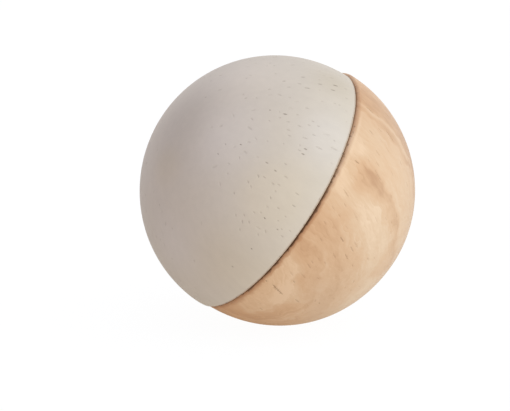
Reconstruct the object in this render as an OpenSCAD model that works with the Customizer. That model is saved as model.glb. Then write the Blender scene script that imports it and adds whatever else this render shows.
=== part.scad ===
// Two-tone wooden croquet ball: two turned half balls, joined face to face on a glued dowel.
// Millimetres. The origin is the ball's centre and +Z is up as the ball lies on the lawn.

/* [Ball] */
// Diameter of the sphere that each half is turned to, finish included
ball_d = 92; // [70:0.5:120]
// Lean of the turning axis from upright as the ball lies, painted side towards -X
axis_lean = 55.5; // [0:0.5:90]

/* [Halves] */
// Extra depth of the painted half beyond a true half ball, or below 0 where it falls short of one
painted_extra = -0.2; // [-1:0.05:2]
// Extra depth of the natural half beyond a true half ball, or below 0 where it falls short of one
natural_extra = 1.35; // [-1:0.05:2]
// How far the two halves sit out of line with each other, across the joint
slip = 0.95; // [0:0.05:2]
// Rounding of the wood at the painted half's rim
painted_rim_r = 0.35; // [0.2:0.05:2]
// Rounding of the wood at the natural half's rim
natural_rim_r = 1.5; // [0.5:0.1:3]
// Thickness of the paint coat
paint_t = 0.15; // [0.1:0.05:0.5]

/* [Dowel] */
// Diameter of the dowel
dowel_d = 16; // [10:0.5:24]
// Length of the dowel
dowel_len = 44; // [24:1:56]
// Chamfer on each end of the dowel
dowel_chamfer = 1.5; // [0.5:0.1:3]
// Number of glue flutes around the dowel
flute_count = 16; // [8:1:20]
// Radius of each half-round glue flute
flute_r = 0.5; // [0.2:0.1:0.7]

/* [Joint] */
// Gap that the glue fills between the dowel and its bores, on the radius
dowel_clearance = 0.15; // [0.05:0.05:0.4]
// Room past each end of the dowel in its blind bore
bore_end_room = 2; // [0.5:0.1:4]
// Countersink at the mouth of each bore, on the radius
bore_countersink = 0.8; // [0.3:0.1:2]
// Thickness of the glue between the two flat faces
glue_t = 0.3; // [0.1:0.05:0.6]
// Bare width of the flat faces between the glue and the rim
glue_margin = 3; // [1:0.5:10]

/* [Hidden] */
$fn = 96;
bite = 1; // how far a cutting shape runs past what it cuts
painted_wood_r = ball_d / 2 - paint_t;
natural_wood_r = ball_d / 2;
bore_r = dowel_d / 2 + dowel_clearance;
bore_depth = (dowel_len - glue_t) / 2 + bore_end_room;
// The ball's centre is midway between the centres of the two domes
joint_z = (natural_extra - painted_extra) / 2;
painted_face_z = joint_z + glue_t / 2;
natural_face_z = joint_z - glue_t / 2;
painted_rim_centre = rim_centre(painted_wood_r, painted_extra, painted_rim_r);
natural_rim_centre = rim_centre(natural_wood_r, natural_extra, natural_rim_r);
glue_reach = min(painted_rim_centre.x, natural_rim_centre.x) - slip / 2 - glue_margin;

// Centre of the arc that rounds a rim: it touches the flat face and the dome from inside
function rim_centre(dome_r, extra, rim_r) =
    [sqrt((dome_r - rim_r) ^ 2 - (rim_r - extra) ^ 2), rim_r];

// Half of a half ball's section, with its flat face on y = 0 and its turning axis on x = 0.
// The dome is grown by the thickness of a coat on it.
module half_section(dome_r, extra, rim_r, grow = 0) {
    corner = rim_centre(dome_r, extra, rim_r);
    outward = (corner - [0, extra]) / (dome_r - rim_r);
    far = dome_r + grow + bite;
    below = -rim_r - grow - bite;
    past_dome = [0, extra] + outward * (far + bite);
    intersection() {
        square([far, 2 * far]);
        union() {
            difference() {
                translate([0, extra]) circle(r = dome_r + grow);
                polygon([corner, [corner.x, below], [far, below], past_dome]);
            }
            translate(corner) circle(r = rim_r + grow);
        }
    }
}

// Turns the ball from its turning axis to the way it lies
module as_it_lies() {
    rotate([0, -axis_lean, 0]) children();
}

// Puts a piece that is drawn up from its flat face on the painted side of the joint
module on_painted_side() {
    translate([0, 0, painted_face_z]) children();
}

// Puts a piece that is drawn up from its flat face on the natural side of the joint
module on_natural_side() {
    translate([0, 0, natural_face_z]) rotate([180, 0, 0]) children();
}

// Blind bore with a countersunk mouth, drawn up from the flat face it opens in
module dowel_bore() {
    translate([0, 0, -bite]) cylinder(r = bore_r, h = bore_depth + bite);
    bore_mouth(bite);
}

// Countersink of a bore, with its mouth on the flat face or run out past it
module bore_mouth(run_out = 0) {
    translate([0, 0, -run_out])
        cylinder(r1 = bore_r + bore_countersink + run_out, r2 = bore_r, h = bore_countersink + run_out);
}

module painted_half() {
    color([0.78, 0.64, 0.48]) as_it_lies() on_painted_side() difference() {
        translate([-slip / 2, 0, 0])
            rotate_extrude() half_section(painted_wood_r, painted_extra, painted_rim_r);
        dowel_bore();
    }
}

module natural_half() {
    color([0.88, 0.74, 0.58]) as_it_lies() on_natural_side() difference() {
        translate([slip / 2, 0, 0])
            rotate_extrude() half_section(natural_wood_r, natural_extra, natural_rim_r);
        dowel_bore();
    }
}

// Dowel on the turning axis, half of it in each half ball
module dowel_body() {
    dowel_r = dowel_d / 2;
    tip_r = dowel_r - dowel_chamfer;
    difference() {
        translate([0, 0, joint_z - dowel_len / 2]) rotate_extrude() polygon([
            [0, 0], [tip_r, 0], [dowel_r, dowel_chamfer],
            [dowel_r, dowel_len - dowel_chamfer], [tip_r, dowel_len], [0, dowel_len]
        ]);
        for (turn = [0 : flute_count - 1])
            rotate(turn * 360 / flute_count) translate([dowel_r, 0, joint_z])
                cylinder(r = flute_r, h = dowel_len + 2 * bite, center = true, $fn = 24);
    }
}

module dowel() {
    color("wheat") as_it_lies() dowel_body();
}

// Glue between the faces, in the countersinks and around the dowel
module glue_line() {
    color("khaki") as_it_lies() difference() {
        union() {
            translate([0, 0, natural_face_z]) cylinder(r = glue_reach, h = glue_t);
            translate([0, 0, joint_z]) cylinder(r = bore_r, h = dowel_len, center = true);
            on_painted_side() bore_mouth();
            on_natural_side() bore_mouth();
        }
        dowel_body();
    }
}

module paint_coat() {
    color([0.80, 0.76, 0.71]) as_it_lies() on_painted_side() translate([-slip / 2, 0, 0])
        rotate_extrude() difference() {
            half_section(painted_wood_r, painted_extra, painted_rim_r, paint_t);
            half_section(painted_wood_r, painted_extra, painted_rim_r);
        }
}

painted_half();
natural_half();
dowel();
glue_line();
paint_coat();
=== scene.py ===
import math

import bpy
import numpy as np
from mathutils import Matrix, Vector
from mathutils.geometry import delaunay_2d_cdt


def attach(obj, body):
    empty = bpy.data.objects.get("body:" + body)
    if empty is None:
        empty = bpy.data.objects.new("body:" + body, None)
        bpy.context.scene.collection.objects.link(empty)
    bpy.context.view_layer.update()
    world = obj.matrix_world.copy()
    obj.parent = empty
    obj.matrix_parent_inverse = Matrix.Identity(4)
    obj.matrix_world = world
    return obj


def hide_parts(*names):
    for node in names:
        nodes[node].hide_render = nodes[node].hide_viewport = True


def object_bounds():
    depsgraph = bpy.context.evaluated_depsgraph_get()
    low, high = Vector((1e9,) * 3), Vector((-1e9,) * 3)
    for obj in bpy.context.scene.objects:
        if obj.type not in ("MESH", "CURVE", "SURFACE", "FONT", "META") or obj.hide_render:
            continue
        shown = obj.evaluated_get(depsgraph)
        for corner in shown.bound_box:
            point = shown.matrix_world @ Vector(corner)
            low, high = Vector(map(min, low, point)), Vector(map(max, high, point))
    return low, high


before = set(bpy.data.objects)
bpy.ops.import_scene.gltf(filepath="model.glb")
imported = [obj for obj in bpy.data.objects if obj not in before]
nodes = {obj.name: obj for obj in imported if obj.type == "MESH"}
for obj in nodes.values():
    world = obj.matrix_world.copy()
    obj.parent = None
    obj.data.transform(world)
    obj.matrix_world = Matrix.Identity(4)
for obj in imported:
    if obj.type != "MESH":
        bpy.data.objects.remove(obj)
cad_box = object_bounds()


# Viewpoint: a long lens, a little above the ball and a little to its left, as the photograph
# sees it. Places in the photograph are in pixels of its frame, with y down.
image_width = 510
image_height = 411
ball_pixel = (277.35, 190.45)
ball_pixel_radius = 135.5
ball_radius = 0.046
camera_turn = math.radians(-13.6)
camera_height = math.radians(13.8)
camera_distance = 2.5
sensor_width = 36

to_camera = np.array([
    math.sin(camera_turn) * math.cos(camera_height),
    -math.cos(camera_turn) * math.cos(camera_height),
    math.sin(camera_height),
])
picture_right = np.array([math.cos(camera_turn), math.sin(camera_turn), 0])
picture_up = np.cross(to_camera, picture_right)
pixel_focal = ball_pixel_radius * math.sqrt(camera_distance ** 2 - ball_radius ** 2) / ball_radius

lens = bpy.data.cameras.new("viewpoint")
lens.sensor_width = sensor_width
lens.lens = pixel_focal * sensor_width / image_width
lens.shift_x = (image_width / 2 - ball_pixel[0]) / image_width
lens.shift_y = (ball_pixel[1] - image_height / 2) / image_width
viewpoint = bpy.data.objects.new("viewpoint", lens)
viewpoint.location = to_camera * camera_distance
viewpoint.rotation_euler = Vector(-to_camera).to_track_quat("-Z", "Y").to_euler()
bpy.context.scene.collection.objects.link(viewpoint)
bpy.context.scene.camera = viewpoint
bpy.context.scene.view_settings.view_transform = "Standard"


# Painted half: a half ball turned from a block of pale hardwood with fine, open vessels. It has a
# flat face with a blind bore for the dowel. Its dome lies under the paint coat, so its bare sanded
# wood shows only where the ball is taken apart.
axis_lean = math.radians(55.5)
turning_axis = np.array([-math.sin(axis_lean), 0, math.cos(axis_lean)])
slip = 0.95
joint_gap = 0.3
painted_extra = -0.2
natural_extra = 1.35
dome_height = (painted_extra + natural_extra + joint_gap) / 2
painted_radius = 45.85
painted_rim = 0.35
bore_radius = 8.15
bore_depth = 23.85
bore_countersink = 0.8
coarse_spacing = 1.5
mm_per_metre = 1000
painted_grain = np.array([-0.764, -0.221, 0.608])
bare_pale = (0.66, 0.48, 0.32, 1)
bare_brown = (0.50, 0.32, 0.19, 1)


class Signal:
    """One output socket in a node tree. Arithmetic on it adds Math nodes to the tree."""

    def __init__(self, tree, socket=None):
        self.tree = tree
        self.socket = socket

    def node(self, kind, settings, sockets, output=0):
        """Adds a node with its settings, then its socket values or links, and gives one output."""
        made = self.tree.nodes.new(kind)
        for name, value in settings.items():
            if name == "stops":
                set_stops(made.color_ramp.elements, value)
            else:
                setattr(made, name, value)
        for key, value in sockets.items():
            if isinstance(value, Signal):
                self.tree.links.new(value.socket, made.inputs[key])
            else:
                made.inputs[key].default_value = value
        return Signal(self.tree, made.outputs[output] if made.outputs else None)

    def math(self, operation, first, second):
        return self.node("ShaderNodeMath", {"operation": operation}, {0: first, 1: second})

    def __add__(self, other):
        return self.math("ADD", self, other)

    def __radd__(self, other):
        return self.math("ADD", other, self)

    def __sub__(self, other):
        return self.math("SUBTRACT", self, other)

    def __rsub__(self, other):
        return self.math("SUBTRACT", other, self)

    def __mul__(self, other):
        return self.math("MULTIPLY", self, other)

    def __rmul__(self, other):
        return self.math("MULTIPLY", other, self)

    def ease(self, low, high):
        """0 up to low, 1 from high on, and a smooth rise between them."""
        return self.node(
            "ShaderNodeMapRange", {"interpolation_type": "SMOOTHSTEP"},
            {"Value": self, "From Min": low, "From Max": high})

    def pick(self, first, second):
        """The first colour where this is 0, the second where it is 1."""
        return self.node(
            "ShaderNodeMix", {"data_type": "RGBA"}, {0: self, 6: first, 7: second}, 2)

    def along(self, axis):
        """How far a place lies along an axis."""
        return self.node(
            "ShaderNodeVectorMath", {"operation": "DOT_PRODUCT"}, {0: self, 1: axis}, 1)

    def distance(self, spot):
        """How far a place is from a spot."""
        return self.node(
            "ShaderNodeVectorMath", {"operation": "DISTANCE"}, {0: self, 1: spot}, 1)

    def scaled(self, factor):
        """A place or shift, made longer or shorter by a factor."""
        return self.node("ShaderNodeVectorMath", {"operation": "SCALE"}, {0: self, "Scale": factor})

    def times(self, vector):
        """A vector, made longer or shorter by this."""
        return self.node("ShaderNodeVectorMath", {"operation": "SCALE"}, {0: vector, "Scale": self})

    def plus(self, vector):
        """A place, or a colour of light, with another added to it."""
        return self.node("ShaderNodeVectorMath", {"operation": "ADD"}, {0: self, 1: vector})

    def noise(self, size, detail=2):
        """Smooth noise from 0 to 1 over places, with grains of about this size."""
        return self.node(
            "ShaderNodeTexNoise", {}, {"Vector": self, "Scale": 1 / size, "Detail": detail})

    def fibres(self, axis, width, length, detail=2):
        """Noise whose grains are this wide, and drawn out to this length along an axis."""
        run = self.along(axis) * (1 / length - 1 / width)
        return self.scaled(1 / width).plus(run.times(axis)).noise(1, detail)

    def raised(self, strength, height):
        """The Normal of a surface that stands up by a height in metres where this is 1."""
        return self.node(
            "ShaderNodeBump", {}, {"Height": self, "Strength": strength, "Distance": height})


def set_stops(elements, stops):
    """Fills a colour ramp, which starts with two elements, from pairs of place and colour."""
    while len(elements) < len(stops):
        elements.new(1)
    for element, (place, colour) in zip(elements, stops):
        element.position = place
        element.color = colour


def new_finish(name):
    """A material with an empty node tree, and the places on the piece that wears it, in mm."""
    material = bpy.data.materials.new(name)
    material.use_nodes = True
    material.node_tree.nodes.clear()
    tree = Signal(material.node_tree)
    place = tree.node("ShaderNodeTexCoord", {}, {}, "Object").scaled(mm_per_metre)
    return material, tree, place


def finish_surface(tree, sockets):
    """Closes a finish with its surface shader."""
    surface = tree.node("ShaderNodeBsdfPrincipled", {}, sockets)
    tree.node("ShaderNodeOutputMaterial", {}, {"Surface": surface})


def bare_wood(name, grain, pale, brown):
    """Sanded wood with nothing on it: slow bands of tone, and fine fibres along the grain."""
    material, tree, place = new_finish(name)
    bands = place.fibres(grain, 5, 60)
    strands = place.fibres(grain, 0.35, 9)
    tone = bands * 0.7 + strands * 0.3
    finish_surface(tree, {
        "Base Color": tone.ease(0.25, 0.75).pick(brown, pale),
        "Roughness": 0.62 + strands * 0.2,
        "Normal": strands.raised(0.35, 0.00006),
    })
    return material


def half_axes(side):
    """The axes of a half as it was turned, with its crown along the last: 1 painted, -1 natural."""
    across = np.array([math.cos(axis_lean), 0, math.sin(axis_lean)])
    return np.array([across, [0, side, 0], side * turning_axis])


def rim_corner(radius, extra, rim):
    """Radius of the circle on which a rounded rim's arc is centred."""
    return np.sqrt((radius - rim) ** 2 - (rim - extra) ** 2)


# Points round a half's edge, the room inside it as a share of the spacing of the other points, and
# the angle from which two faces meet in a sharp edge.
edge_count = 480
edge_room = 0.7
sharp_angle = math.radians(50)
edge_turn = np.arange(edge_count) * 2 * math.pi / edge_count


def edge_spots(limit):
    """Directions all round the edge of a dome, which lies at this angle from its crown."""
    limit = limit + 0 * edge_turn
    return np.stack([
        np.sin(limit) * np.cos(edge_turn), np.sin(limit) * np.sin(edge_turn), np.cos(limit)], 1)


def spread_spots(count, limit):
    """Directions spread evenly over a dome, out to an angle from its crown."""
    order = np.arange(count) + 0.5
    height = 1 - order / count * (1 - math.cos(limit))
    turn = order * math.pi * (3 - math.sqrt(5))
    reach = np.sqrt(1 - height ** 2)
    return np.stack([reach * np.cos(turn), reach * np.sin(turn), height], 1)


def angle_from_edge(spots, limit):
    """How far directions on a dome lie inside its edge."""
    return limit - np.arccos(np.clip(spots[:, 2], -1, 1))


# Three sanding waves: how far each turns per unit of direction, their mean depth and height in mm,
# and the angle from the edge over which they fade out.
sanding_waves = ((5.1, 2.3, 1.7), (-2.9, 6.2, 3.1), (1.3, -4.7, 7.9))
sanding_depth = 0.045
sanding_height = 0.015
sanding_fade = 0.15


def hand_sanding(spots, limit):
    """Shallow waves that hand sanding leaves, in mm below the true dome: none at its edge."""
    waves = 0
    for pull in sanding_waves:
        waves = waves + np.cos(spots @ np.array(pull))
    fade = np.clip(angle_from_edge(spots, limit) / sanding_fade, 0, 1)
    return (sanding_depth + sanding_height * waves) * fade


def dome_skin(vessels, wear, limit, radius, spacing):
    """A dome's directions, distances from its centre, vessel shades and triangles, edge first."""
    inner_limit = np.min(limit) - edge_room * spacing / radius
    count = int(2 * math.pi * radius ** 2 * (1 - math.cos(inner_limit)) / spacing ** 2)
    spots = spread_spots(count, inner_limit)
    for vessel in vessels:
        spots = spots[~vessel.covers(spots, radius)]
    groups = [edge_spots(limit), spots]
    depths = [np.zeros(edge_count + len(spots))]
    shades = [np.zeros(edge_count + len(spots))]
    for vessel in vessels:
        for ring_spots, sunk in vessel.rings(radius):
            groups.append(ring_spots)
            depths.append(np.full(len(ring_spots), vessel.depth * sunk))
            shades.append(np.full(len(ring_spots), vessel.shade * sunk))
    spots = np.concatenate(groups)
    reach = radius - wear(spots) - np.concatenate(depths)
    flat = spots[:, :2] / (1 + spots[:, 2:])
    edge = [(i, (i + 1) % edge_count) for i in range(edge_count)]
    inside_only = 1
    tolerance = 1e-9
    result = delaunay_2d_cdt(
        [Vector(place) for place in flat], edge, [], inside_only, tolerance)
    source = [found[0] for found in result[3]]
    triangles = [[source[i] for i in face] for face in result[2]]
    return spots, reach, np.concatenate(shades), triangles


def ring(offset, radius, level):
    """A row of points round a half's turning axis, which may be set off to one side."""
    return np.stack([
        offset + radius * np.cos(edge_turn), radius * np.sin(edge_turn), level + 0 * edge_turn], 1)


def arc_rows(offset, corner, level, radius, start, end, steps):
    """Rows down a rounded rim, from one angle above the level of its arc's centre to another."""
    rows = []
    for step in range(1, steps + 1):
        angle = start + (end - start) * step / steps
        rows.append(ring(offset, corner + radius * np.cos(angle), level + radius * np.sin(angle)))
    return rows


face_row_shares = (0.05, 0.15, 0.4, 0.7, 1)


def bored_face_rows(offset, corner, face):
    """Rows in over a flat face to the mouth of its bore, down the bore and over its end."""
    rows = []
    mouth = bore_radius + bore_countersink
    for share in face_row_shares:
        rows.append(ring(offset * (1 - share), corner * (1 - share) + mouth * share, face))
    rows.append(ring(0, bore_radius, face + bore_countersink))
    rows.append(ring(0, bore_radius, face + bore_depth * 0.5))
    rows.append(ring(0, bore_radius, face + bore_depth))
    rows.append(ring(0, bore_radius * 0.5, face + bore_depth))
    return rows


def turned_piece(name, axes, centre, skin, rows, outer_rows, end):
    """A piece from its dome's skin and the rows of points below it, closed at an end point.
    The bake's map has a disc for the dome and the outer rows, and a smaller one for the rest."""
    spots, reach, shade, triangles = skin
    dome = centre + spots * reach[:, None]
    points = np.concatenate([dome] + rows + [np.array([end])])
    last = len(points) - 1
    starts = [0] + [len(dome) + i * edge_count for i in range(len(rows))]
    faces = list(triangles)
    for upper, lower in zip(starts[:-1], starts[1:]):
        for i in range(edge_count):
            after = (i + 1) % edge_count
            faces.append([upper + i, lower + i, lower + after, upper + after])
    for i in range(edge_count):
        faces.append([starts[-1] + i, last, starts[-1] + (i + 1) % edge_count])
    mesh = bpy.data.meshes.new(name)
    mesh.from_pydata((points @ axes / mm_per_metre).tolist(), [], faces)
    shades = np.zeros(len(points))
    shades[:len(shade)] = shade
    mesh.attributes.new("vessel", "FLOAT", "POINT").data.foreach_set("value", shades)

    outer_middle = 0.43
    dome_reach = 0.40
    full_reach = 0.42
    inner_middle = 0.85
    inner_reach = 0.14
    out = np.sqrt((1 - spots[:, 2]) / (1 - spots[:, 2].min())) * dome_reach
    spin = np.arctan2(spots[:, 1], spots[:, 0])
    outer_map = np.full((len(points), 2), outer_middle)
    outer_map[:len(dome)] += np.stack([out * np.cos(spin), out * np.sin(spin)], 1)
    inner_map = np.full((len(points), 2), inner_middle)
    circle = np.stack([np.cos(edge_turn), np.sin(edge_turn)], 1)
    for i, start in enumerate(starts[1:], 1):
        here = slice(start, start + edge_count)
        outer_map[here] += circle * (dome_reach + (full_reach - dome_reach) * i / outer_rows)
        inner_map[here] += circle * inner_reach * (len(rows) + 1 - i) / (len(rows) + 1 - outer_rows)
    corners = np.zeros(len(mesh.loops), np.int32)
    mesh.loops.foreach_get("vertex_index", corners)
    outside = np.arange(len(faces)) < len(triangles) + outer_rows * edge_count
    outside = np.repeat(outside, [len(face) for face in faces])
    places = np.where(outside[:, None], outer_map[corners], inner_map[corners])
    mesh.uv_layers.new(name="OFBake").uv.foreach_set("vector", places.astype(np.float32).ravel())

    mesh.polygons.foreach_set("use_smooth", np.ones(len(faces), bool))
    mesh.set_sharp_from_angle(angle=sharp_angle)
    piece = bpy.data.objects.new(name, mesh)
    bpy.context.scene.collection.objects.link(piece)
    return piece


painted_axes = half_axes(1)
painted_centre = np.array([-slip / 2, 0, dome_height])
painted_face = dome_height - painted_extra
painted_corner = rim_corner(painted_radius, painted_extra, painted_rim)
painted_limit = np.arctan2(painted_corner, painted_rim - painted_extra)
rim_sanding = 0.25
rim_sanding_reach = 2.2
proud_side = 0.2


def painted_wear(spots):
    """Sanding of the painted half: its rim is taken down most where it stands proud of the other."""
    from_edge = angle_from_edge(spots, painted_limit) * painted_radius
    proud = np.clip(proud_side - spots[:, 0], 0, None)
    taken = rim_sanding * proud * np.exp(-from_edge / rim_sanding_reach)
    return hand_sanding(spots, painted_limit) + taken


painted_drop = painted_wear(edge_spots(painted_limit))
rim_steps = 8
painted_piece = turned_piece(
    "painted_half_turned", painted_axes, painted_centre,
    dome_skin([], painted_wear, painted_limit, painted_radius, coarse_spacing),
    arc_rows(
        -slip / 2, painted_corner - painted_drop, painted_face + painted_rim, painted_rim,
        math.pi / 2 - painted_limit, -math.pi / 2, rim_steps)
    + bored_face_rows(-slip / 2, painted_corner - painted_drop, painted_face),
    rim_steps, (0, 0, painted_face + bore_depth))
painted_piece.data.materials.append(
    bare_wood("bare_wood", painted_grain, bare_pale, bare_brown))
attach(painted_piece, "root")
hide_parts("painted_half")


# Natural half: the second half ball, turned from another block of the same kind of wood, sanded
# and oiled so that its figure shows. Oil and dust in the joint have stained its rim brown, and the
# colour there also holds painted shade in the groove and on the rim's rounding, with a painted
# highlight along the rim on its upper half. It is a dome with an eased rim, a flat face and a blind
# bore, all in one piece.
natural_radius = 45.98
fine_spacing = 0.6
natural_grain = np.array([-0.532, 0, 0.847])
# Pits in mm: the margin of the ring round one, the room in it that is kept clear of the dome's other
# points, the least gap between two, and how close and how many the points on a ring are.
pit_margin = 0.12
pit_clearance = 0.35
pits_apart = 0.5
pit_point_spacing = 0.2
fewest_pit_points = 10


def on_dome(pixel, axes, centre, radius):
    """The direction, on a half's own axes, of the place on its dome that a pixel shows."""
    across = picture_right * (pixel[0] - ball_pixel[0])
    upward = picture_up * (ball_pixel[1] - pixel[1])
    ray = across + upward - to_camera * pixel_focal
    ray = axes @ (ray / np.linalg.norm(ray))
    start = axes @ to_camera * camera_distance * mm_per_metre - centre
    near = start @ ray
    reach = -near - math.sqrt(near ** 2 - start @ start + radius ** 2)
    return (start + ray * reach) / radius


def place_shown(pixel, axes, centre, radius):
    """The place on a half's dome that a pixel shows, in mm in the ball's frame."""
    return (centre + on_dome(pixel, axes, centre, radius) * radius) @ axes


class Vessel:
    """A vessel of the wood, cut open by the surface: a narrow pit drawn out along the grain."""

    def __init__(self, spot, grain, length, width, depth, shade, twist):
        lie = grain - (grain @ spot) * spot
        lie = lie / np.linalg.norm(lie)
        self.spot = spot
        self.lie = math.cos(twist) * lie + math.sin(twist) * np.cross(spot, lie)
        self.cross = np.cross(spot, self.lie)
        self.half_width = width / 2
        self.half_length = max(length, width) / 2
        self.depth = depth
        self.shade = shade

    def at(self, run, side, radius):
        """Directions at distances along the pit and across it."""
        moved = self.spot + (np.outer(run, self.lie) + np.outer(side, self.cross)) / radius
        return moved / np.linalg.norm(moved, axis=1)[:, None]

    def loop(self, share, margin, radius):
        """Directions on a ring round the pit: a share of its size, with a margin outside that."""
        count = fewest_pit_points + int(self.half_length / pit_point_spacing)
        turn = np.arange(count) * 2 * math.pi / count
        run = (self.half_length * share + margin) * np.cos(turn)
        side = (self.half_width * share + margin) * np.sin(turn)
        return self.at(run, side, radius)

    def rings(self, radius):
        """The rings of directions that make the pit, each with its share of the full depth."""
        middle = np.array([-0.5, 0, 0.5]) * self.half_length
        return (
            (self.loop(1, pit_margin, radius), 0),
            (self.loop(1, 0, radius), 0.1),
            (self.loop(0.7, 0, radius), 0.8),
            (self.at(middle, middle * 0, radius), 1),
        )

    def covers(self, spots, radius):
        """Which directions lie in the pit or in the margin round it."""
        apart = (spots - self.spot) * radius
        run = apart @ self.lie / (self.half_length + pit_clearance)
        side = apart @ self.cross / (self.half_width + pit_clearance)
        return (run ** 2 + side ** 2 < 1) & (spots @ self.spot > 0)

    def clear_of(self, others, radius):
        """Whether the pit keeps its distance from all others."""
        for other in others:
            apart = np.linalg.norm(self.spot - other.spot) * radius
            if apart < self.half_length + other.half_length + pits_apart:
                return False
        return True


def placed_vessels(groups, axes, centre, radius, grain, depth):
    """Vessels at marks in the photograph. Each group has its marks, width in mm, shade and turn."""
    vessels = []
    for marks, width, shade, twist in groups:
        for x, y, length in marks:
            spot = on_dome((x, y), axes, centre, radius)
            vessels.append(Vessel(spot, grain, length, width, depth, shade, twist))
    return vessels


# Where the grain dives into the wood, vessels are cut across: shorter, and turned more at random.
least_dive = 0.01
cut_length = 3
cut_twist = 0.9


def scatter_vessels(vessels, count, seed, grain, density, sizes, limit, radius, depth):
    """Adds vessels at random places on a dome to those that were placed one by one."""
    draw = np.random.default_rng(seed)
    wanted = len(vessels) + count
    while len(vessels) < wanted:
        height = 1 - draw.random() * (1 - math.cos(limit))
        turn = draw.random() * 2 * math.pi
        reach = math.sqrt(1 - height ** 2)
        spot = np.array([reach * math.cos(turn), reach * math.sin(turn), height])
        length, width, shade = sizes(draw)
        dive = max(abs(grain @ spot), least_dive)
        length = min(length, cut_length * width / dive)
        twist = draw.normal() * cut_twist * dive ** 2
        if draw.random() > density(spot):
            continue
        vessel = Vessel(spot, grain, length, width, depth, shade, twist)
        if vessel.clear_of(vessels, radius):
            vessels.append(vessel)


natural_axes = half_axes(-1)
natural_centre = np.array([slip / 2, 0, dome_height])
natural_face = dome_height - natural_extra
# The rim is rounded to 1.5 mm, but less at the upper end of the joint, where it was handled least.
joint_top = natural_axes @ np.cross(turning_axis, to_camera)
near_top = np.cos(edge_turn - math.atan2(joint_top[1], joint_top[0]))
full_rim = 1.5
top_rim = 1.0
top_start = 0.72
top_blend = 0.2
at_top = np.clip((near_top - top_start) / top_blend, 0, 1)
natural_rim = full_rim - (full_rim - top_rim) * at_top
natural_corner = rim_corner(natural_radius, natural_extra, natural_rim)
natural_limit = np.arctan2(natural_corner, natural_rim - natural_extra)
natural_inner_limit = natural_limit.min()
own_natural_grain = natural_axes @ natural_grain
natural_pit_depth = 0.1
natural_vessel_count = 200
natural_seed = 21
natural_edge_room = 0.08

# Marks on the natural half, from dark to faint: x and y in pixels, and length in mm. The slanted
# one is turned away from the grain.
dark_natural_marks = ((277.7, 290, 7.8), (265.9, 280.6, 1.6))
strong_natural_marks = ((342, 239.4, 3.0),)
natural_marks = (
    (346.6, 256.8, 3.4), (352, 249.2, 3.2), (370, 110, 4.2), (294, 282, 1.4), (297, 301, 3.2),
    (261, 309, 2.0),
)
soft_natural_marks = ((309, 266, 2.8), (378, 175, 5.5), (390, 136, 6.5))
faint_natural_marks = (
    (356, 245, 3.4), (378, 164.4, 2.4), (303, 276, 3.0), (312, 262, 1.7), (345, 205, 1.6),
    (325, 223, 1.6), (368, 259, 1.5), (346, 193, 4.2),
)
faintest_natural_marks = ((393, 240, 2.5), (333, 208, 2.6), (319, 260, 2.2))
slanted_natural_marks = ((357, 162, 2.4),)
natural_vessels = placed_vessels((
    (dark_natural_marks, 0.32, 0.8, 0), (strong_natural_marks, 0.26, 0.8, 0),
    (natural_marks, 0.26, 0.5, 0), (soft_natural_marks, 0.26, 0.33, 0),
    (faint_natural_marks, 0.24, 0.28, 0), (faintest_natural_marks, 0.24, 0.15, 0),
    (slanted_natural_marks, 0.3, 0.7, 0.3),
), natural_axes, natural_centre, natural_radius, own_natural_grain, natural_pit_depth)
cut_across_loss = 0.6


def natural_density(spot):
    """Vessels show all over the oiled half, but less where they are cut across."""
    return 1 - cut_across_loss * abs(spot @ own_natural_grain)


def natural_vessel_sizes(draw):
    """Length and width of a vessel in mm, and how dark it is."""
    return draw.lognormal(0.9, 0.4), draw.uniform(0.22, 0.36), 0.05 + 0.25 * draw.random() ** 2


scatter_vessels(
    natural_vessels, natural_vessel_count, natural_seed, own_natural_grain, natural_density,
    natural_vessel_sizes, natural_inner_limit - natural_edge_room, natural_radius,
    natural_pit_depth)

# A place at the foot of the natural half that is rubbed flatter: its reach and depth in mm.
rub_towards = natural_axes @ (picture_right - picture_up) / math.sqrt(2)
rub_reach = 14
rub_depth = 0.2


def natural_wear(spots):
    """Sanding of the natural half, with the flatter place at its foot."""
    apart = np.linalg.norm(spots - rub_towards, axis=1) * natural_radius
    rubbed = rub_depth * np.exp(-(apart / rub_reach) ** 2)
    return hand_sanding(spots, natural_inner_limit) + rubbed


natural_drop = natural_wear(edge_spots(natural_limit))
natural_piece = turned_piece(
    "natural_half_oiled", natural_axes, natural_centre,
    dome_skin(natural_vessels, natural_wear, natural_limit, natural_radius, fine_spacing),
    arc_rows(
        slip / 2, natural_corner - natural_drop, natural_face + natural_rim, natural_rim,
        math.pi / 2 - natural_limit, -math.pi / 2, rim_steps)
    + bored_face_rows(slip / 2, natural_corner - natural_drop, natural_face),
    rim_steps, (0, 0, natural_face + bore_depth))

# Growth rings of the natural half: the pixel at their middle, then distances from there in mm, each
# with a tone from 0 for brown to 1 for cream.
ring_pixel = (245, 278)
ring_tones = (
    (0, 0.84), (17.2, 0.88), (19.4, 0.46), (22, 0.36), (25, 0.28), (26.2, 0.48), (27.4, 0.46),
    (29, 0.34), (32.5, 0.26), (33.6, 0.40), (38, 0.46), (40.5, 0.60), (44, 0.76), (48, 0.74),
    (57.5, 0.62), (66, 0.57), (68.6, 0.48), (70, 0.20), (71.2, 0.64), (72.2, 0.16), (78, 0.20),
    (80, 0.55), (84, 0.30), (87, 0.62), (90, 0.40),
)
ring_span = 95
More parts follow.
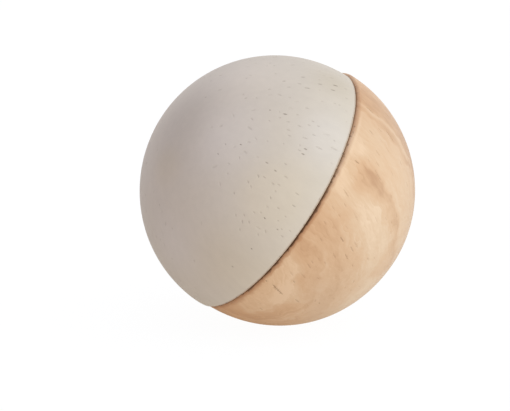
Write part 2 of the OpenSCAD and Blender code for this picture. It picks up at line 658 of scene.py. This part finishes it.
# Smoky and pale pockets in the wood, and at (385, 264) a patch of painted shade on the lower right
# limb: x and y in pixels, reach in mm, and change of tone. The change is full in the core of a pocket
# and fades to nothing at its rim, both as shares of the reach.
pocket_core = 0.5
pocket_fade = 1.2
pockets_and_shade = (
    (343, 173, 6, 0.24), (361, 173, 7, -0.18), (377, 183, 6, -0.12), (385, 264, 8, -0.28),
    (348, 299, 10, 0.04), (312, 313, 9, 0.06), (256, 313, 9, -0.08), (334, 200, 6, 0.10),
    (311, 254, 4, -0.12), (366, 140, 9, 0.12), (365, 226, 9, 0.10), (354, 146, 6, 0.24),
    (374, 121, 7, 0.06), (342, 228, 6, -0.06), (318, 258, 8, 0.08), (236, 303, 8, -0.02),
    (310, 288, 5, 0.12), (291, 297, 7, 0.26),
)
# The wood's colours by tone, and the tints of its amber lower left and its paler right.
wood_tones = (
    (0, (0.490, 0.272, 0.142, 1)), (0.25, (0.575, 0.343, 0.188, 1)),
    (0.46, (0.614, 0.380, 0.216, 1)), (0.75, (0.648, 0.432, 0.263, 1)),
    (1, (0.708, 0.492, 0.316, 1)),
)
amber_tint = (1.03, 0.96, 0.86, 1)
pale_tint = (0.96, 1.05, 1.2, 1)
vessel_brown = (0.20, 0.100, 0.045, 1)
# The pale strip's cream is partly a painted highlight. The brown stain and the groove's dark colour
# also stand for painted shade.
rubbed_cream_and_highlight = (0.80, 0.60, 0.43, 1)
rim_stain_and_shade = (0.44, 0.20, 0.085, 1)
groove_dirt_and_shade = (0.12, 0.055, 0.025, 1)
joint_speck = (0.07, 0.035, 0.02, 1)
straight_up = np.array([0, 0, 1])


def wander(place, scale, detail, reach):
    """A shift in all three directions that changes slowly from place to place."""
    colour = place.node(
        "ShaderNodeTexNoise", {}, {"Vector": place, "Scale": scale, "Detail": detail}, "Color")
    return colour.plus((-0.5, -0.5, -0.5)).scaled(reach)


def tinted(colour, tint):
    """A colour, multiplied by a tint."""
    return colour.node(
        "ShaderNodeMix", {"data_type": "RGBA", "blend_type": "MULTIPLY"},
        {0: 1.0, 6: colour, 7: tint}, 2)


def vessel_shade(tree):
    """How dark the vessels are at a place, which the mesh carries."""
    return tree.node("ShaderNodeAttribute", {"attribute_name": "vessel"}, {}, "Fac")


def dirt_specks(place):
    """1 on fine specks of dirt and 0 between them."""
    return place.noise(1.3, 3).ease(0.56, 0.68)


def rim_dirt_and_painted_light(wood, place):
    """Wood at the joint's rim: a pale strip that is partly a painted highlight on its upper half, a
    brown stain mixed with painted shade on the rim's rounding, and dark dirt mixed with painted shade
    in the groove.
    """
    above_face = place.along(-turning_axis) - natural_face
    height = place.along(straight_up)
    low = 1 - height.ease(0, 29)
    deep = 1 - height.ease(-26, -17)
    below_top = 1 - height.ease(28, 33)
    upper = height.ease(26, 29) - height.ease(34.5, 36)
    # Brown stain on the rim's rounding, mixed with painted shade. It is strongest lower down and in a
    # band near the top.
    stain_and_shade_mask = below_top * 0.12 + low * low * 0.5 + upper * 0.25
    ragged = place.noise(2.5, 3)
    uneven = (ragged - 0.5) * low
    # A pale strip on the rim: rubbing, and a painted highlight that shows only on the upper half.
    rubbed = above_face.ease(1.3, 1.7) - above_face.ease(1.8, 2.8)
    flank = 1 - (above_face - ragged - uneven * 1.6).ease(0.4, 1.1 + low * 0.4 + deep * 0.9)
    # Dark dirt in the groove, mixed with painted groove shade: faint at the top, strongest lower
    # down.
    groove = 1 - (above_face - ragged * 0.6 - uneven * 1.2).ease(-0.1, 0.5)
    specks = dirt_specks(place) * (1 - above_face.ease(0.3, 0.9))
    wood = (rubbed * below_top * (0.2 - low * 0.2)).pick(wood, rubbed_cream_and_highlight)
    wood = (flank * stain_and_shade_mask).pick(wood, rim_stain_and_shade)
    wood = (groove * (0.05 + low * 0.85 - deep * 0.15)).pick(wood, groove_dirt_and_shade)
    return (specks * (0.3 + below_top * 0.3)).pick(wood, joint_speck)


def oiled_wood():
    """Oiled wood with growth rings, smoky and pale pockets, and fibres."""
    material, tree, place = new_finish("oiled_wood")
    to_right = place.along(picture_right)
    to_top = place.along(picture_up)
    calm = place.along(natural_grain).ease(-15, 18)
    stray = wander(place, 0.09, 3, 11 - calm * 7)
    curl = wander(place, 0.35, 2, 2 - to_right.ease(16, 28) * 2)
    strayed = place.plus(stray.plus(curl))

    def distance_from(pixel):
        return strayed.distance(place_shown(pixel, natural_axes, natural_centre, natural_radius))

    # Growth rings, with finer lines and layers between them, and fibres along the grain.
    spread = distance_from(ring_pixel)
    tone = tree.node("ShaderNodeValToRGB", {
        "stops": [(at / ring_span, (shade, shade, shade, 1)) for at, shade in ring_tones],
    }, {"Fac": spread * (1 / ring_span)})
    lines = tree.node(
        "ShaderNodeTexNoise", {"noise_dimensions": "1D"}, {"W": spread, "Scale": 0.8, "Detail": 3})
    layer = spread * 0.42 + (place.noise(8) - 0.5) * 1.6
    layer = tree.math("FRACT", layer, 0) - 0.5
    clear = place.noise(10).ease(0.4, 0.7) * (1 - to_right.ease(22, 42) * 0.6)
    foot = to_right.ease(6, 14) * place.along(-picture_up).ease(22, 38)
    drawn = (lines - 0.5) * 0.25 + layer * clear * (0.36 - calm * 0.16)
    strands = place.fibres(natural_grain, 0.5, 9, 3)
    flakes = place.fibres(natural_grain, 2.4, 9, 3).ease(0.46, 0.56)
    cloud = place.noise(5, 4)
    tone = tone + drawn * (1 - foot * 0.65) + (strands - 0.5) * 0.3 + (cloud - 0.5) * 0.24
    tone = tone + (flakes - 0.5) * 0.08

    # Pockets, with the painted shade on the lower right limb, and the smoky eye, which follows one
    # ring.
    for x, y, reach, change in pockets_and_shade:
        apart = distance_from((x, y))
        tone = tone + (1 - apart.ease(reach * pocket_core, reach * pocket_fade)) * change
    smoky = spread - 1.1 + to_top.ease(3, 8) * 1.7
    smoke = smoky.ease(48, 54.6) - smoky.ease(54.8, 57)
    smoke = smoke * (place.along(-turning_axis) - natural_face).ease(5, 11) * to_top.ease(-27, -10)
    tone = tone - smoke * 0.44

    # Colour: amber at the lower left and paler to the right, at the top and at the foot.
    wood = tree.node("ShaderNodeValToRGB", {"stops": wood_tones}, {"Fac": tone})
    paler = place.along(0.88 * picture_right - 0.48 * picture_up).ease(-7, 46)
    paler = paler + to_top.ease(4, 24) * 0.18 + foot * 0.2
    wood = paler.pick(tinted(wood, amber_tint), tinted(wood, pale_tint))
    vessel = vessel_shade(tree)
    wood = vessel.pick(wood, vessel_brown)
    finish_surface(tree, {
        "Base Color": rim_dirt_and_painted_light(wood, place),
        "Roughness": 0.46 + (strands - 0.5) * 0.2 + vessel * 0.3,
        "Specular IOR Level": 0.3,
        "Normal": strands.raised(0.25, 0.00005),
    })
    return material


natural_piece.data.materials.append(oiled_wood())
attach(natural_piece, "root")
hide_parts("natural_half")


# Dowel: a fluted peg of straight-grained beech with a chamfer at both ends. It sits in the blind
# bores of the two halves, on the axis they were turned on, and keys them together.
dowel_pale = (0.64, 0.45, 0.29, 1)
dowel_brown = (0.53, 0.34, 0.20, 1)
nodes["dowel"].data.materials.clear()
nodes["dowel"].data.materials.append(
    bare_wood("dowel_beech", turning_axis, dowel_pale, dowel_brown))


# Glue line: set wood glue between the two flat faces and round the dowel. It stops short of the
# rim, so that the joint stays open as a fine dark line round the ball.
glue_amber = (0.42, 0.25, 0.09, 1)
glue_cloudy = (0.60, 0.44, 0.22, 1)


def set_glue():
    """Amber glue, cloudy where it took up wood dust, with a skin that is wavy and slightly glossy."""
    material, tree, place = new_finish("set_glue")
    cloudy = place.noise(3, 3)
    finish_surface(tree, {
        "Base Color": cloudy.ease(0.3, 0.7).pick(glue_amber, glue_cloudy),
        "Roughness": 0.25 + cloudy * 0.3,
        "Normal": cloudy.raised(0.4, 0.0002),
    })
    return material


nodes["glue_line"].data.materials.clear()
nodes["glue_line"].data.materials.append(set_glue())


# Paint coat: a thin, matt, warm grey coat brushed on the painted half. It is too thin to fill the
# vessels of the wood, which show through it as fine dark dashes, and it ends on the joint in a lip.
paint_thickness = 0.13
paint_radius = painted_radius + paint_thickness
own_painted_grain = painted_axes @ painted_grain
paint_pit_depth = 0.09
paint_vessel_count = 300
paint_seed = 8
paint_edge_room = 0.04

# Marks in the paint, from dark to faint: x and y in pixels, and length in mm. The upright ones lie
# where the grain dives into the wood, and are turned away from it.
darkest_paint_marks = ((335.4, 85.4, 2.4),)
dark_paint_marks = (
    (285, 114, 1.7), (264.6, 218.2, 0.9), (240.7, 144.6, 0.8), (270, 110, 0.6), (251.4, 248.9, 0.8),
)
wide_paint_marks = ((333, 90, 2.0), (305.5, 149, 1.4), (303, 154, 1.4))
paint_marks = (
    (275.3, 170.7, 1.2), (266.7, 162.7, 1.3), (277.4, 229.6, 0.9), (232.4, 266.7, 1.0),
    (307.2, 87.9, 2.2), (320, 84, 2.0), (303, 77, 1.8), (284, 81, 1.5), (217.9, 153.9, 0.8),
)
faint_paint_marks = (
    (319, 148, 3.2), (305, 138, 2.2), (297, 194, 1.8), (314, 135, 1.5), (307, 108, 1.7),
    (334, 148.8, 3.4), (285.4, 164, 1.3), (288.3, 130, 1.6), (264.3, 177.4, 1.4), (309, 125, 1.3),
    (331.4, 77.9, 2.0), (299.3, 83.6, 1.7), (288.6, 87.1, 1.5), (299.3, 126, 1.5),
    (318.3, 126, 1.3), (288, 121.7, 1.6), (289.3, 135.7, 1.4), (334.3, 140.7, 1.0),
    (281.9, 236.4, 1.3), (278.1, 208.3, 1.2), (269.3, 89.3, 1.2), (339.3, 105, 1.0),
    (313, 121.4, 1.2), (281.6, 229.3, 1.0), (299.3, 150.3, 1.4),
)
upright_paint_marks = (
    (258.1, 176.1, 1.4), (247.9, 181.9, 1.3), (270.4, 197.9, 1.3), (235.7, 215.4, 1.2),
    (242.1, 221.7, 1.6), (248.9, 222.4, 1.2), (265.3, 231.4, 1.5), (257.9, 234.7, 1.1),
    (239.7, 229.6, 1.2), (225.3, 144.3, 1.0), (234, 193.3, 1.0), (243.9, 215.3, 1.0),
)
paint_vessels = placed_vessels((
    (darkest_paint_marks, 0.46, 0.95, 0), (dark_paint_marks, 0.36, 0.9, 0),
    (wide_paint_marks, 0.46, 0.65, 0), (paint_marks, 0.36, 0.55, 0),
    (faint_paint_marks, 0.34, 0.28, 0), (upright_paint_marks, 0.36, 0.30, -0.6),
), painted_axes, painted_centre, paint_radius, own_painted_grain, paint_pit_depth)
quiet_pixels = ((178, 145), (225, 265))
quiet_edge = 0.95
quiet_blend = 0.12
least_density = 0.05
open_share = 0.15
quiet_spots = [on_dome(at, painted_axes, painted_centre, paint_radius) for at in quiet_pixels]


def paint_density(spot):
    """The paint has filled most vessels at two places, and leaves more of them open elsewhere."""
    nearest = max(spot @ quiet for quiet in quiet_spots)
    return min(max((quiet_edge - nearest) / quiet_blend, least_density), 1)


def paint_vessel_sizes(draw):
    """Length and width of a vessel in mm, and how dark it is: most are half filled with paint."""
    if draw.random() < open_share:
        return draw.lognormal(0.1, 0.3), draw.uniform(0.24, 0.36), draw.uniform(0.25, 0.5)
    return draw.lognormal(0.45, 0.42), draw.uniform(0.5, 0.9), draw.uniform(0.04, 0.17)


scatter_vessels(
    paint_vessels, paint_vessel_count, paint_seed, own_painted_grain, paint_density,
    paint_vessel_sizes, painted_limit - paint_edge_room, paint_radius, paint_pit_depth)

lip_steps = 6
lip_radius = painted_rim + paint_thickness
lip_end = -math.asin(painted_rim / lip_radius)
under_rows = []
under_steps = 40
for step in range(1, under_steps):
    under_spots = edge_spots(painted_limit * (1 - step / under_steps))
    under_reach = painted_radius - painted_wear(under_spots)
    under_rows.append(painted_centre + under_spots * under_reach[:, None])
paint_piece = turned_piece(
    "paint_coat_brushed", painted_axes, painted_centre,
    dome_skin(paint_vessels, painted_wear, painted_limit, paint_radius, fine_spacing),
    arc_rows(
        -slip / 2, painted_corner - painted_drop, painted_face + painted_rim, lip_radius,
        math.pi / 2 - painted_limit, lip_end, lip_steps)
    + [ring(-slip / 2, painted_corner - painted_drop, painted_face)]
    + arc_rows(
        -slip / 2, painted_corner - painted_drop, painted_face + painted_rim, painted_rim,
        -math.pi / 2, math.pi / 2 - painted_limit, lip_steps)
    + under_rows,
    lip_steps, (-slip / 2, 0, dome_height + painted_radius - sanding_depth))


# Thick and thin places in the coat, and patches of painted shade on the left side of the ball, away
# from the light: x and y in pixels, reach in mm, change of tone, and change of hue, which is above 0
# where the coat is cooler. They fade to nothing at a share of the reach.
cloud_fade = 1.6
paint_clouds_and_shade = (
    (175, 132, 14, -0.28, 0), (224, 136, 13, 0.20, 0.4), (246, 74, 13, 0.24, 0),
    (334, 82, 9, -0.22, -0.45), (328, 140, 10, 0.18, 0.6), (275, 196, 12, 0, -0.65),
    (234, 260, 14, -0.12, -0.5), (174, 246, 11, 0.16, 0.4), (166, 166, 7, -0.08, -0.6),
    (194, 160, 13, -0.04, 0), (178, 180, 24, -0.12, 0), (200, 103, 12, -0.15, 0),
)
# Colours of the coat from its darker to its lighter tone. The darker ones also carry the painted
# shade.
thin_and_shaded_warm = (0.484, 0.414, 0.326, 1)
thin_and_shaded_cool = (0.462, 0.410, 0.357, 1)
thick_warm = (0.716, 0.617, 0.488, 1)
thick_cool = (0.686, 0.612, 0.534, 1)
filled_vessel = (0.16, 0.115, 0.075, 1)
# Brown of the worn lip, which also stands for painted shade of the groove at the paint's edge.
worn_lip_and_shade = (0.36, 0.24, 0.15, 1)
lip_speck = (0.07, 0.045, 0.03, 1)


def grey_paint():
    """Matt warm grey paint, thin enough for the wood's grain and vessels to read through it, with
    painted shade on the ball's left side and along the groove at its lip.
    """
    material, tree, place = new_finish("grey_paint")
    drift = place.noise(26)
    mottle = place.noise(5, 3)
    strands = place.fibres(painted_grain, 0.6, 10, 3)
    brushed = place.fibres(painted_grain, 2.2, 26, 3)
    peel = place.noise(0.9)
    tone = 0.5 + (mottle - 0.5) * 0.14 + (strands - 0.5) * 0.1 + (brushed - 0.5) * 0.2
    hue = 0.5 + (drift - 0.5) * 0.5
    # Each cloud shifts tone and hue. Those that darken the ball's left side are painted shade.
    for x, y, reach, change, cooler in paint_clouds_and_shade:
        middle = place_shown((x, y), painted_axes, painted_centre, paint_radius)
        near = 1 - place.distance(middle).ease(0, reach * cloud_fade)
        tone = tone + near * change
        hue = hue + near * cooler
    base = tone.pick(hue.pick(thin_and_shaded_warm, thin_and_shaded_cool), hue.pick(thick_warm, thick_cool))
    vessel = vessel_shade(tree)
    base = vessel.pick(base, filled_vessel)
    above_face = place.along(turning_axis) - painted_face
    height = place.along(straight_up)
    low = 1 - height.ease(-8, 30)
    # Worn paint at the lip, widened with painted shade of the groove.
    worn_lip_and_shade_mask = 1 - (above_face - mottle * (0.6 - low * 0.3)).ease(-0.1, 0.6)
    worn_lip_and_shade_mask = worn_lip_and_shade_mask * (1 - height.ease(29, 34) * 0.3)
    base = (worn_lip_and_shade_mask * 0.7).pick(base, worn_lip_and_shade)
    base = (worn_lip_and_shade_mask * dirt_specks(place) * 0.7).pick(base, lip_speck)
    grit = peel * 0.6 + strands * 0.4
    finish_surface(tree, {
        "Base Color": base,
        "Roughness": 0.60 + (mottle - 0.5) * 0.12,
        "Specular IOR Level": 0.5,
        "Normal": grit.raised(0.2, 0.00005),
    })
    return material


paint_piece.data.materials.append(grey_paint())
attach(paint_piece, "root")
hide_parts("paint_coat")


# Studio: a wide white sweep of paper under the ball, and soft light from all round that is stronger
# from the right. The sweep and the air behind it are white to the camera, and the sweep keeps the
# ball's own shadow. The ball's gloss mirrors it as a greyer paper than the camera sees, a sheet seen
# only in reflections, which paints shade on the ball's lower edge.
floor_half = 3
floor_segments = 24
floor_drop = 0.00002
floor_level = cad_box[0].z - floor_drop
floor_points = []
for row in range(floor_segments + 1):
    for column in range(floor_segments + 1):
        floor_points.append((
            floor_half * (2 * column / floor_segments - 1),
            floor_half * (2 * row / floor_segments - 1), floor_level))
floor_faces = []
for row in range(floor_segments):
    for column in range(floor_segments):
        first = row * (floor_segments + 1) + column
        above = first + floor_segments + 1
        floor_faces.append((first, first + 1, above + 1, above))
floor_mesh = bpy.data.meshes.new("sweep")
floor_mesh.from_pydata(floor_points, [], floor_faces)
floor = bpy.data.objects.new("sweep", floor_mesh)
bpy.context.scene.collection.objects.link(floor)
floor.visible_diffuse = False
shadow_share = 0.05
glow_strength = 1.012
pure_white = (1, 1, 1, 1)
paper_white = (0.98, 0.98, 0.98, 1)
paper_grey = (0.72, 0.72, 0.72, 1)
floor_material, floor_tree = new_finish("white_sweep")[:2]
glow = floor_tree.node("ShaderNodeEmission", {}, {"Color": pure_white, "Strength": glow_strength})
paper = floor_tree.node("ShaderNodeBsdfDiffuse", {}, {"Color": paper_white})
dim_paper = floor_tree.node("ShaderNodeBsdfDiffuse", {}, {"Color": paper_grey})
mirrored = floor_tree.node("ShaderNodeLightPath", {}, {}, "Is Glossy Ray")
surface = floor_tree.node("ShaderNodeMixShader", {}, {0: shadow_share, 1: glow, 2: paper})
surface = floor_tree.node("ShaderNodeMixShader", {}, {0: mirrored, 1: surface, 2: dim_paper})
floor_tree.node("ShaderNodeOutputMaterial", {}, {"Surface": surface})
floor_mesh.materials.append(floor_material)

world = bpy.data.worlds.new("soft_light")
world.use_nodes = True
world.node_tree.nodes.clear()
bpy.context.scene.world = world
air = Signal(world.node_tree)
direction = air.node("ShaderNodeTexCoord", {}, {}, "Generated")
# The light from the middle, and how much more comes from a side, in red, green and blue.
light = (0.79, 0.75, 0.79)
for axis, gain in (
    (picture_right, (0.88, 1.01, 0.92)),
    (picture_up, (0.05, 0.11, 0.22)),
    (to_camera, (0.35, 0.41, 0.40)),
):
    light = direction.along(axis).times(gain).plus(light)
# A lobe of light from behind and from the left, as a white wall there would give.
bounce_axis = -0.76 * picture_right - 0.13 * picture_up - 0.64 * to_camera
bounce_colour = (0.90, 1.09, 0.95)
light = direction.along(bounce_axis).ease(0, 1).times(bounce_colour).plus(light)
lit = air.node("ShaderNodeBackground", {}, {"Color": light, "Strength": 1})
white = air.node("ShaderNodeBackground", {}, {"Color": pure_white, "Strength": 1})
seen = air.node("ShaderNodeLightPath", {}, {}, "Is Camera Ray")
mirrored = air.node("ShaderNodeLightPath", {}, {}, "Is Glossy Ray")
through = air.node("ShaderNodeLightPath", {}, {}, "Is Transmission Ray")
backdrop = air.math("MAXIMUM", air.math("MAXIMUM", seen, mirrored), through)
sky = air.node("ShaderNodeMixShader", {}, {0: backdrop, 1: lit, 2: white})
air.node("ShaderNodeOutputWorld", {}, {"Surface": sky})
